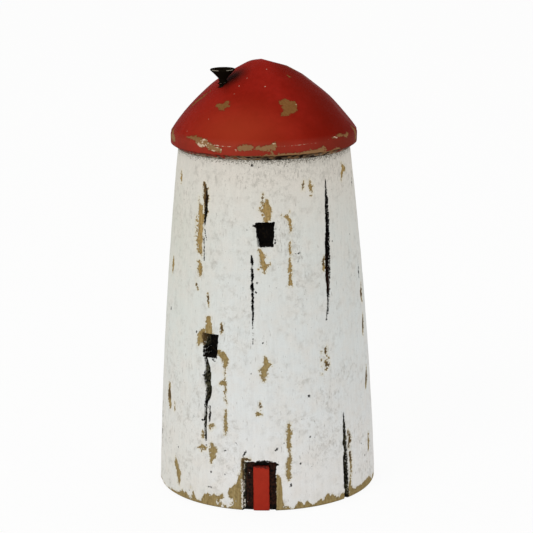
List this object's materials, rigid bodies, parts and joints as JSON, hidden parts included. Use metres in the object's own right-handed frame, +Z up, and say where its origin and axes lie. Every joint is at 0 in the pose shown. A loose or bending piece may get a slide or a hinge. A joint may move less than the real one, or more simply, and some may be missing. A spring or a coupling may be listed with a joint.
{
  "type": "lighthouse ornament",
  "caption": "Free-standing wooden lighthouse ornament: a tapering painted tower with carved windows and door, a domed red roof, and a screw set in the roof as a chimney.",
  "frame": {"origin": "middle of the tower's flat foot, on the surface that the ornament stands on", "axes": "+Z up along the tower's axis, -Y out through the door, +X to the right of someone facing the door"},
  "size_m": [0.077, 0.0768, 0.1499],
  "materials": {
    "tower_paint": "chalky white paint, chipped to bare wood, with black-stained drying checks",
    "roof_paint": "satin red paint, chipped to bare wood at the rim",
    "dowel_wood": "bare turned hardwood",
    "screw_steel": "black phosphate, lightly oiled",
    "door_paint": "satin red paint, worn at the edges"
  },
  "bodies": {
    "root": {"tower": "tower_paint", "roof": "roof_paint", "roof_dowel": "dowel_wood", "chimney_screw": "screw_steel", "door": "door_paint"}
  },
  "joints": []
}
